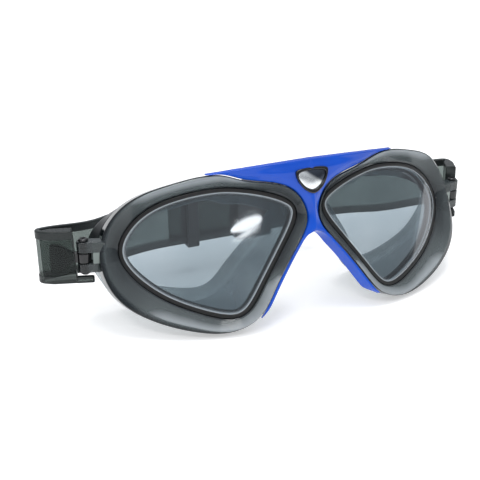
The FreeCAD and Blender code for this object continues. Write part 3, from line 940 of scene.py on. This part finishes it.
def frame_edge(stations):
    """Edge of the front frame along the bezel."""
    out = np.array(RIM_OUT) + FRAME_GAP
    return closed_spline(station_points(out, RIM_RISE), parameter(np.asarray(stations)))


def nearest(points, line):
    """Distance from each point to a line of close points."""
    gaps = np.linalg.norm(points[:, None, :] - line[None, :, :], axis=2)
    return gaps.min(axis=1)


def brow_bow(shares):
    """Top edge of the brow's left half, from its tip to the middle, by share of its arc."""
    return arc_points(BROW_TIP, BROW_MIDDLE, BROW_TOP, shares)


def brow_sheet():
    """Front face of the left half, from the bezel's edge out to the brow's top and the middle
    line, as a grid of points before it is crowned."""
    brow = np.linspace(BROW_TIP_STATION, BRIDGE_STATION, 60)
    bridge = np.linspace(BRIDGE_STATION, APEX_STATION, 36)[1:]
    inner = frame_edge(np.concatenate([brow, bridge]))
    tip_at, turn_at, apex_at = parameter([BROW_TIP_STATION, BRIDGE_STATION, APEX_STATION])
    bow = brow_bow((parameter(brow) - tip_at) / (turn_at - tip_at))
    drop = ((parameter(bridge) - turn_at) / (apex_at - turn_at))[:, None]
    outer = np.concatenate([bow, BROW_TOP * (1 - drop) + BRIDGE_APEX * drop])
    margin = np.array([0.0, 0.02, 0.05, 0.09])
    across = np.concatenate([margin, np.linspace(0.13, 0.87, 25), 1 - margin[::-1]])
    return inner[:, None, :] * (1 - across[None, :, None]) + outer[:, None, :] * across[None, :, None]


def crowned(points):
    """The front face's points raised along a soft crease and rounded off at the margins."""
    edge = frame_edge(np.linspace(BROW_TIP_STATION, APEX_STATION, 600))
    from_edge = nearest(points, edge)
    from_top = nearest(points, brow_bow(np.linspace(0, 1, 500)))
    bevel = from_edge / BEVEL_WIDTH
    bevel = 0.5 * (bevel + 1 - np.sqrt((bevel - 1) ** 2 + BEVEL_SOFTNESS))
    crown = BEVEL_HEIGHT * bevel * smooth_step(from_top / CROWN_FADE)
    inside = np.clip(BROW_ROUND - np.minimum(from_edge, from_top), 0, BROW_ROUND)
    fall = BROW_ROUND - np.sqrt(BROW_ROUND ** 2 - inside ** 2)
    points[:, 1] += fall - crown
    return points


def brow_piece():
    """Both halves of the brow and bridge as one plate."""
    sheet = brow_sheet()
    faces = grid_faces(*sheet.shape[:2], False, False)
    points = crowned(sheet.reshape(-1, 3))
    work = bmesh.new()
    for half, order in ((points, 1), (mirror(points, "right"), -1)):
        verts = [work.verts.new(tuple(p)) for p in half]
        for face in faces:
            work.faces.new([verts[i] for i in face[::order]])
    bmesh.ops.remove_doubles(work, verts=work.verts, dist=1e-4)
    region = bmesh.ops.extrude_face_region(work, geom=work.faces[:])
    moved = [v for v in region["geom"] if isinstance(v, bmesh.types.BMVert)]
    bmesh.ops.translate(work, verts=moved, vec=(0.0, BROW_THICKNESS - BROW_ROUND, 0.0))
    mesh = bpy.data.meshes.new("brow")
    work.to_mesh(mesh)
    work.free()
    for vertex in mesh.vertices:
        vertex.co = Vector(place(vertex.co))
    tidy_mesh(mesh)
    return new_object("brow", mesh)


def nose_legs_path():
    """Left leg up to the top of the nose, over it and down the right leg, with the share of
    the way across the nose at each point."""
    edge = frame_edge(np.linspace(LEG_END_STATION, LEG_START_STATION, 40))
    outward = unit(np.cross(-unit(np.gradient(edge, axis=0)), AXIS_H))
    left = edge + outward * LEG_WIDTH / 2
    crown = BRIDGE_APEX + np.array([0.0, -0.1, -0.2])
    knee = np.array([left[-1][0] * 0.5, crown[1], crown[2] - 0.1])
    share = np.linspace(0, 1, 10)[1:-1, None]
    arch = (1 - share) ** 2 * left[-1] + 2 * share * (1 - share) * knee + share ** 2 * crown
    half = np.concatenate([left, arch])
    path = np.concatenate([half, crown[None], mirror(half, "right")[::-1]])
    turn = np.concatenate([np.zeros(len(left)), share[:, 0] * 0.5, [0.5]])
    return path, np.concatenate([turn, 1 - turn[-2::-1]])[:, None]


def nose_legs_piece():
    """Deep narrow strip down both bezels' nose sides and over the top of the nose."""
    path, turn = nose_legs_path()
    forward = unit(AXIS_H * (1 - turn) + mirror(AXIS_H, "right") * turn)
    along = unit(np.gradient(path, axis=0))
    place_in = np.arange(len(path))
    taper = smooth_step(np.minimum(place_in, place_in[::-1])[:, None] / LEG_TAPER_POINTS)
    wide = unit(np.cross(along, forward)) * LEG_WIDTH / 2 * (0.3 + 0.7 * taper)
    deep = forward * -LEG_DEPTH * (0.35 + 0.65 * taper)
    corners = [path - wide, path + wide, path + wide + deep, path - wide + deep]
    return rail_piece("legs", rounded(corners, LEG_RADII))


def badge_outline(inset):
    """Shield outline in (x, z), flat side up, smaller all round by the inset."""
    half = BADGE_TOP_HALF - inset
    top = BADGE_TOP_Z - inset
    tip = BADGE_TIP_Z + 1.4 * inset
    height = top - tip
    right_side = [
        (half * 0.84, top), (half, top - 1.4),
        (half * 0.83, tip + height * 0.48), (half * 0.48, tip + height * 0.16),
    ]
    left_side = [(-x, z) for x, z in reversed(right_side)]
    corners = [(0.0, top + 0.5)] + right_side + [(0.0, tip)] + left_side
    return smooth_loop(np.array(corners), 64)


def smooth_loop(corners, count):
    """Smooth closed flat curve through the corners, evenly sampled."""
    total = len(corners)
    points = []
    for step in range(count):
        at = step * total / count
        i = int(at)
        t = at - i
        a, b, c, d = (corners[(i + k) % total] for k in (-1, 0, 1, 2))
        square = 2 * a - 5 * b + 4 * c - d
        cube = 3 * b - a - 3 * c + d
        points.append(0.5 * (2 * b + (c - a) * t + square * t ** 2 + cube * t ** 3))
    return np.array(points)


def badge_lift(points):
    """(x, z, depth in front of the badge's plane) to the layout."""
    height = points[:, 1] - BADGE_TIP_Z
    y = BADGE_FRONT_Y + height * math.sin(BADGE_LEAN) - points[:, 2] * math.cos(BADGE_LEAN)
    return np.column_stack([points[:, 0], y, points[:, 1]])


def dome_piece(name, outline):
    """Low dome over the badge's outline: its edge stands at its rim and its middle rises."""
    middle = outline.mean(axis=0)
    layers = [(outline, PLATE_BACK)]
    for share in np.cos(np.linspace(0.0, 1.45, 14)):
        level = PLATE_RIM + PLATE_RISE * (1 - share ** 2) ** 0.8
        layers.append((middle + (outline - middle) * share, level))
    return stacked_piece(name, layers, badge_lift)


def plate_painted_reflection(points):
    """Painted reflection: dark towards the plate's upper corner on the wearer's left, bright elsewhere.
    """
    slant = points[:, 0] * 0.7 + (points[:, 2] - (BADGE_TOP_Z + BADGE_TIP_Z) / 2)
    return fade(slant, 0.6, 2.6)


def make_badge():
    """Raised black ring and the plain plate inside it, with a painted dark reflection on the plate."""
    outer = badge_outline(0.0)
    inner = badge_outline(BADGE_RIM)
    section = ((outer, BADGE_SUNK), (outer, BADGE_PROUD), (inner, BADGE_PROUD), (inner, BADGE_SUNK))
    corners = [badge_lift(at_level(flat, level)) for flat, level in section]
    rim = loop_piece("badge_ring", rounded(corners, BADGE_RADII))
    dress(rim, BLACK, "mask", "badge_black", "badge_rim")
    plate = dome_piece("badge_insert", badge_outline(BADGE_RIM - 0.1))
    # Painted reflection: the plate's upper corner is painted dark.
    set_tone(plate, "left", plate_painted_reflection)
    dress(plate, SILVER_PAINTED_REFLECTION, "mask", "badge_silver", "badge_plate")


def make_front_frame():
    """Hard blue moulding: brow, bridge and nose legs, with the badge's recess."""
    brow = brow_piece()
    combined(brow, nose_legs_piece(), "UNION")
    recess = prism_piece("recess", badge_outline(0.3), -6.0, 6.0, badge_lift, 0.2)
    combined(brow, recess, "DIFFERENCE")
    piece = joined("brow_frame", [brow])
    dress(piece, BLUE, "mask", "frame_blue", "front_frame")


# ======== hinges and clips ========

def heading_vector(angle):
    """Level unit vector at a heading, anticlockwise from +X."""
    return np.array([math.cos(angle), math.sin(angle), 0.0])


def hinge_lift(heading, upright):
    """Turns (a, b, c) into the layout about the hinge axis.

    With upright, a runs outward, b is the height and c points forward; otherwise a runs
    outward, b points backward and c is the height."""
    outward = heading_vector(heading)
    backward = heading_vector(heading + math.pi / 2)

    def lift(points):
        across = UP if upright else backward
        along = -backward if upright else UP
        return PIN_AXIS + points[:, :1] * outward + points[:, 1:2] * across + points[:, 2:] * along

    return lift


def make_pin(side):
    """Pin with a fine bore and a small domed head at each end."""
    shoulder = PIN_HEAD_RADIUS - PIN_DOME
    profile = [
        (PIN_BORE, PIN_BOTTOM), (shoulder, PIN_BOTTOM + 0.04),
        (PIN_HEAD_RADIUS, PIN_BOTTOM + PIN_DOME), (PIN_HEAD_RADIUS, EAR_BOTTOM - 0.1),
        (PIN_RADIUS, EAR_BOTTOM), (PIN_RADIUS, EAR_TOP),
        (PIN_HEAD_RADIUS, EAR_TOP + 0.1), (PIN_HEAD_RADIUS, PIN_TOP - PIN_DOME),
        (shoulder, PIN_TOP - 0.04), (PIN_BORE, PIN_TOP - 0.001),
    ]
    piece = lathe_piece(f"{side}_pivot_pin", profile, side)
    dress(piece, BLACK, "mask", "pin_dark", f"{side}_hinge_pin")


def make_lug(side):
    """T-shaped arm with two rounded ears about the pin."""
    lift = hinge_lift(WRAP, upright=False)
    angles = np.linspace(-math.pi / 2, math.pi / 2, 17)
    ear = [(KNUCKLE_RADIUS * math.cos(a), KNUCKLE_RADIUS * math.sin(a)) for a in angles]
    neck = -KNUCKLE_RADIUS
    ear += [(neck, LUG_HALF), (-LUG_LENGTH, LUG_HALF), (-LUG_LENGTH, -LUG_HALF), (neck, -LUG_HALF)]
    parts = []
    for low, high in ((KNUCKLE_TOP + EAR_GAP, EAR_TOP), (EAR_BOTTOM, KNUCKLE_BOTTOM - EAR_GAP)):
        parts.append(prism_piece("ear", ear, low, high, lift, 0.4, side))
        set_tone(parts[-1], side, ear_tone)
    stem_end = neck - LUG_STEM_GAP
    half = LUG_HALF - 0.2
    corners = [(stem_end, half), (-LUG_LENGTH, half), (-LUG_LENGTH, -half), (stem_end, -half)]
    stem = round_outline(corners, 0.4)
    parts.append(prism_piece("stem", stem, EAR_BOTTOM + 0.5, EAR_TOP - 0.5, lift, 0.3, side))
    # The stem takes tone 0, the pale end of the lug's colours: painted light.
    set_tone(parts[-1], side, lambda points: np.zeros(len(points)))
    piece = joined(f"{side}_lug_arm", parts)
    dress(piece, LUG, "mask", "lug_grey", f"{side}_hinge_lug")


def ear_tone(points):
    """Grey on the ears' arms and dark round the pin."""
    radius = np.hypot(points[:, 0] - PIN_X, points[:, 1] - PIN_Y)
    return 0.5 + 0.5 * fade(radius, 3.4, -0.8)


def make_clip(side):
    """Knuckle on the pin and the fan-shaped plate inside the strap's end."""
    middle = (KNUCKLE_TOP + KNUCKLE_BOTTOM) / 2
    lift = hinge_lift(WRAP + CLIP_REST[side], upright=True)
    upper = [(t, middle + half) for t, half in CLIP_PROFILE]
    lower = [(t, middle - half) for t, half in reversed(CLIP_PROFILE)]
    fan = round_outline(lower + upper, CLIP_ROUND, 8)
    reach, widest = CLIP_PROFILE[-1]
    bow = np.interp(np.abs(fan[:, 1] - middle), [0.0, widest], [CLIP_LENGTH, reach])
    far = fan[:, 0] > CLIP_PROFILE[2][0] + CLIP_STRETCH
    fan[far, 0] = np.minimum(bow[far], fan[far, 0] + CLIP_STRETCH)
    plate = prism_piece("fan", fan, -CLIP_THICKNESS / 2, CLIP_THICKNESS / 2, lift, 0.4, side)
    bore = PIN_RADIUS + PIN_CLEARANCE
    shoulder = KNUCKLE_RADIUS - KNUCKLE_EDGE
    profile = [
        (bore, KNUCKLE_BOTTOM), (shoulder, KNUCKLE_BOTTOM),
        (KNUCKLE_RADIUS, KNUCKLE_BOTTOM + KNUCKLE_EDGE), (KNUCKLE_RADIUS, KNUCKLE_TOP - KNUCKLE_EDGE),
        (shoulder, KNUCKLE_TOP), (bore, KNUCKLE_TOP),
    ]
    knuckle = lathe_piece("knuckle", profile, side)
    piece = joined(f"{side}_clip_fan", [plate, knuckle])
    dress(piece, BLACK, f"{side}_clip", "clip_black", f"{side}_strap_clip")


# ======== strap ========

def turn_points(point, heading, radius, new_heading, steps):
    """Points of a left-hand arc from a point and heading to a new heading."""
    centre = point + heading_vector(heading + math.pi / 2) * radius
    angles = heading + (new_heading - heading) * np.arange(1, steps + 1) / steps
    return [centre + heading_vector(angle - math.pi / 2) * radius for angle in angles]


def run_points(start, end, spacing=1.5):
    """Evenly spaced points of a straight run, without its start."""
    steps = max(2, int(np.linalg.norm(end - start) / spacing))
    return [start + (end - start) * k / steps for k in range(1, steps + 1)]


def strap_route(side):
    """Plan view of one half, drawn on the left, from the hinge round to its tail."""
    heading = WRAP + CLIP_REST[side]
    outward = heading_vector(heading)
    route = [PIN_AXIS + outward * HORN_START]
    route += run_points(route[0], PIN_AXIS + outward * (SLEEVE_END + STRAP_GAP), 0.35)
    start = route[-1]
    route += turn_points(start, heading, FOLD_RADIUS, FOLD_HEADING, 20)
    rear_y = STRAP_REAR_Y + (STRAP_LAYER if side == "left" else 0.0)
    rise = REAR_BEND_RADIUS * (1 + math.cos(FOLD_HEADING))
    length = (rear_y - rise - route[-1][1]) / math.sin(FOLD_HEADING)
    route += run_points(route[-1], route[-1] + heading_vector(FOLD_HEADING) * length)
    route += turn_points(route[-1], FOLD_HEADING, REAR_BEND_RADIUS, math.pi, 20)
    route += run_points(route[-1], np.array([-TAIL_REACH, route[-1][1], 0.0]))
    return np.array(route)


def blunt(distance):
    """Share of the full thickness at a distance from one of the strap's rounded ends."""
    share = 1 - np.clip(distance / STRAP_END_ROUND, 0, 1)
    return np.sqrt(np.clip(1 - share ** 2, 0.02, 1))


def strap_rows(route):
    """Thick end moulded round the clip that thins into a flat band with a raised border along
    each edge, as rows of points along the route."""
    steps = np.linalg.norm(np.diff(route, axis=0), axis=1)
    travelled = np.concatenate([[0.0], np.cumsum(steps)])
    reach = travelled + HORN_START
    along = unit(np.gradient(route, axis=0))
    outer = np.column_stack([along[:, 1], -along[:, 0], np.zeros(len(route))])
    sleeve = fade(reach, SLEEVE_START - SLEEVE_RISE, SLEEVE_RISE)
    thin = fade(reach, THINNING_START, THINNING_LENGTH)
    thickness = SLEEVE_THICKNESS * (1 - thin) + STRAP_THICKNESS * thin
    centre = route + outer * (SLEEVE_THICKNESS / 4 * (1 - sleeve))[:, None]
    drop = STRAP_DROP * fade(reach, SLEEVE_END, DROP_LENGTH)
    bottom = STRAP_TOP - STRAP_WIDTH - drop
    top = np.where(sleeve < 1.0, HORN_TOP + (STRAP_TOP - HORN_TOP) * sleeve, STRAP_TOP - drop)
    ends = blunt(travelled[-1] - travelled) * blunt(travelled)
    half = (thickness / 2 * (0.5 + 0.5 * sleeve) * ends)[:, None]
    waist = half * (1 - STRAP_HOLLOW * thin * sleeve)[:, None]
    room = np.minimum(STRAP_BORDER, (top - bottom) * 0.3)
    levels = [top, top - room, top - room - 0.3, bottom + room + 0.3, bottom + room, bottom]
    offsets = [half, half, waist, waist, half, half]

    def corner(level, offset):
        return centre + outer * offset + UP * level[:, None]

    corners = [corner(level, offset) for level, offset in zip(levels, offsets)]
    corners += [corner(level, -offset) for level, offset in zip(levels[::-1], offsets[::-1])]
    return rounded(corners, STRAP_RADII * 2, 4)


def make_strap(side):
    """One strap half, in one piece with the end that is moulded round its clip."""
    rows = strap_rows(strap_route(side))
    edge = np.repeat(STRAP_TONES + STRAP_TONES[::-1], 5)[:, None]
    piece = rail_piece(f"{side}_strap_band", rows, side, np.broadcast_to(edge, rows.shape[:2]))
    dress(piece, STRAP, None, "strap_smoke", f"{side}_strap", f"{side}_strap_end")
    bend_at(piece)


def bend_at(piece):
    """Bakes the band's placement into its mesh."""
    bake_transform(piece)


def loop_frame(name, length, wall, centre_x):
    """Closed band round both layers of the strap's straight middle."""
    low_y = STRAP_REAR_Y - STRAP_THICKNESS / 2 - SLOT_CLEARANCE
    high_y = low_y + STRAP_LAYER + STRAP_THICKNESS + 2 * SLOT_CLEARANCE
    top = SLOT_BOTTOM + SLOT_HEIGHT
    box = [(low_y, SLOT_BOTTOM), (high_y, SLOT_BOTTOM), (high_y, top), (low_y, top)]
    inner = subdivided(round_outline(box, 0.4, 6))
    outer = shrink(inner, -wall)

    def corner(flat, x):
        return np.column_stack([np.full(len(flat), x), flat])

    low_x = centre_x - length / 2
    high_x = centre_x + length / 2
    corners = [corner(inner, low_x), corner(outer, low_x), corner(outer, high_x), corner(inner, high_x)]
    return loop_piece(name, rounded(corners, [0.3, wall * 0.4, wall * 0.4, 0.3]))


def subdivided(outline, spacing=1.2):
    """Flat closed outline with points added along its long sides."""
    points = []
    for here, after in zip(outline, np.roll(outline, -1, axis=0)):
        steps = max(1, int(np.linalg.norm(after - here) / spacing))
        points += [here + (after - here) * k / steps for k in range(steps)]
    return np.array(points)


def make_slider():
    """Adjuster: a frame with an upright bar between the two layers of the strap."""
    shell = loop_frame("shell", SLIDER_LENGTH, SLIDER_WALL, 0.0)
    middle_y = STRAP_REAR_Y + STRAP_LAYER / 2
    low_y = middle_y - SLIDER_BAR / 2
    high_y = middle_y + SLIDER_BAR / 2
    half = SLIDER_LENGTH * 0.2
    flat = round_outline([(-half, low_y), (half, low_y), (half, high_y), (-half, high_y)], 0.5)
    low_z = SLOT_BOTTOM - SLIDER_WALL / 2
    high_z = low_z + SLOT_HEIGHT + SLIDER_WALL
    bar = prism_piece("bar", flat, low_z, high_z, lambda points: points, 0.2)
    piece = joined("rear_adjuster", [shell, bar])
    dress(piece, BLACK, "slider", "slider_black", "rear_slider")


def make_keeper(side):
    """Soft loop that holds the loose tail flat."""
    piece = loop_frame(f"{side}_tail_loop", KEEPER_LENGTH, KEEPER_WALL, SIDES[side] * KEEPER_X)
    dress(piece, KEEPER, f"{side}_keeper", "keeper_smoke", f"{side}_strap_keeper")


# ======== stage, lights and camera ========

def make_stage():
    """Large pale floor at the level the goggles stand on."""
    half = 3.0
    corners = [(-half, -half, 0), (half, -half, 0), (half, half, 0), (-half, half, 0)]
    mesh = bpy.data.meshes.new("floor")
    mesh.from_pydata(corners, [], [(0, 1, 2, 3)])
    mesh.materials.append(floor_material())
    floor = new_object("floor", mesh)


def area_light(name, position, size, power):
    """Soft oval lamp that points at the goggles."""
    lamp = bpy.data.lights.new(name, "AREA")
    lamp.shape = "ELLIPSE"
    lamp.size, lamp.size_y = size
    lamp.energy = power
    holder = new_object(name, lamp)
    holder.location = position
    direction = LAMP_TARGET - holder.location
    holder.rotation_euler = direction.to_track_quat("-Z", "Y").to_euler()


def make_world():
    """White to the camera, and to everything else a surround that is brightest overhead."""
    world = bpy.data.worlds.new("studio")
    world.use_nodes = True
    tree = world.node_tree
    background = tree.nodes["Background"]
    split = add_node(tree, "SeparateXYZ")
    tree.links.new(add_node(tree, "TexCoord").outputs["Generated"], split.inputs["Vector"])
    shade = ramp(tree, split.outputs["Z"], [
        (0.0, (0.28, 0.29, 0.31)), (0.35, (0.56, 0.58, 0.61)), (0.9, (0.98, 1.00, 1.04)),
    ])
    tree.links.new(shade, background.inputs["Color"])
    white = add_node(tree, "Background", Color=(1.0, 1.0, 1.0, 1.0)).outputs["Background"]
    seen = add_node(tree, "LightPath").outputs["Is Camera Ray"]
    surface = mixed(tree, seen, background.outputs["Background"], white)
    tree.links.new(surface, tree.nodes["World Output"].inputs["Surface"])
    bpy.context.scene.world = world


def make_lights():
    """Soft studio light: the surround, a lamp at the upper left, one overhead and one in front."""
    make_world()
    area_light("key", (-0.45, -0.55, 0.85), (0.4, 0.15), 2.2)
    area_light("top", (0.05, 0.0, 0.95), (0.5, 0.4), 3.0)
    area_light("window", (-0.02, -0.80, 0.25), (0.17, 0.018), 0.08)


def make_camera():
    """Camera at the front, to the wearer's right and a little above."""
    azimuth = math.radians(-23.84)
    elevation = math.radians(22.02)
    roll = math.radians(-0.69)
    level = math.cos(elevation)
    back = Vector((math.sin(azimuth) * level, -math.cos(azimuth) * level, math.sin(elevation)))
    right = Vector((math.cos(azimuth), math.sin(azimuth), 0.0))
    up = back.cross(right)
    turned_right = right * math.cos(roll) + up * math.sin(roll)
    turned_up = up * math.cos(roll) - right * math.sin(roll)
    data = bpy.data.cameras.new("camera")
    data.sensor_width = 36.0
    data.lens = 65.57
    data.clip_start = 0.01
    camera = new_object("camera", data)
    position = Matrix.Translation(Vector(place((-148.27, -270.39, 111.19))))
    rotation = Matrix((turned_right, turned_up, back)).transposed()
    camera.matrix_world = position @ rotation.to_4x4()
    bpy.context.scene.camera = camera


make_skirt()
make_front_frame()
make_badge()
make_slider()
for side in SIDES:
    make_lens(side)
    make_gasket(side)
    make_bezel(side)
    make_pin(side)
    make_lug(side)
    make_clip(side)
    make_strap(side)
    make_keeper(side)
make_stage()
make_lights()
make_camera()
bpy.context.scene.view_settings.view_transform = "Standard"
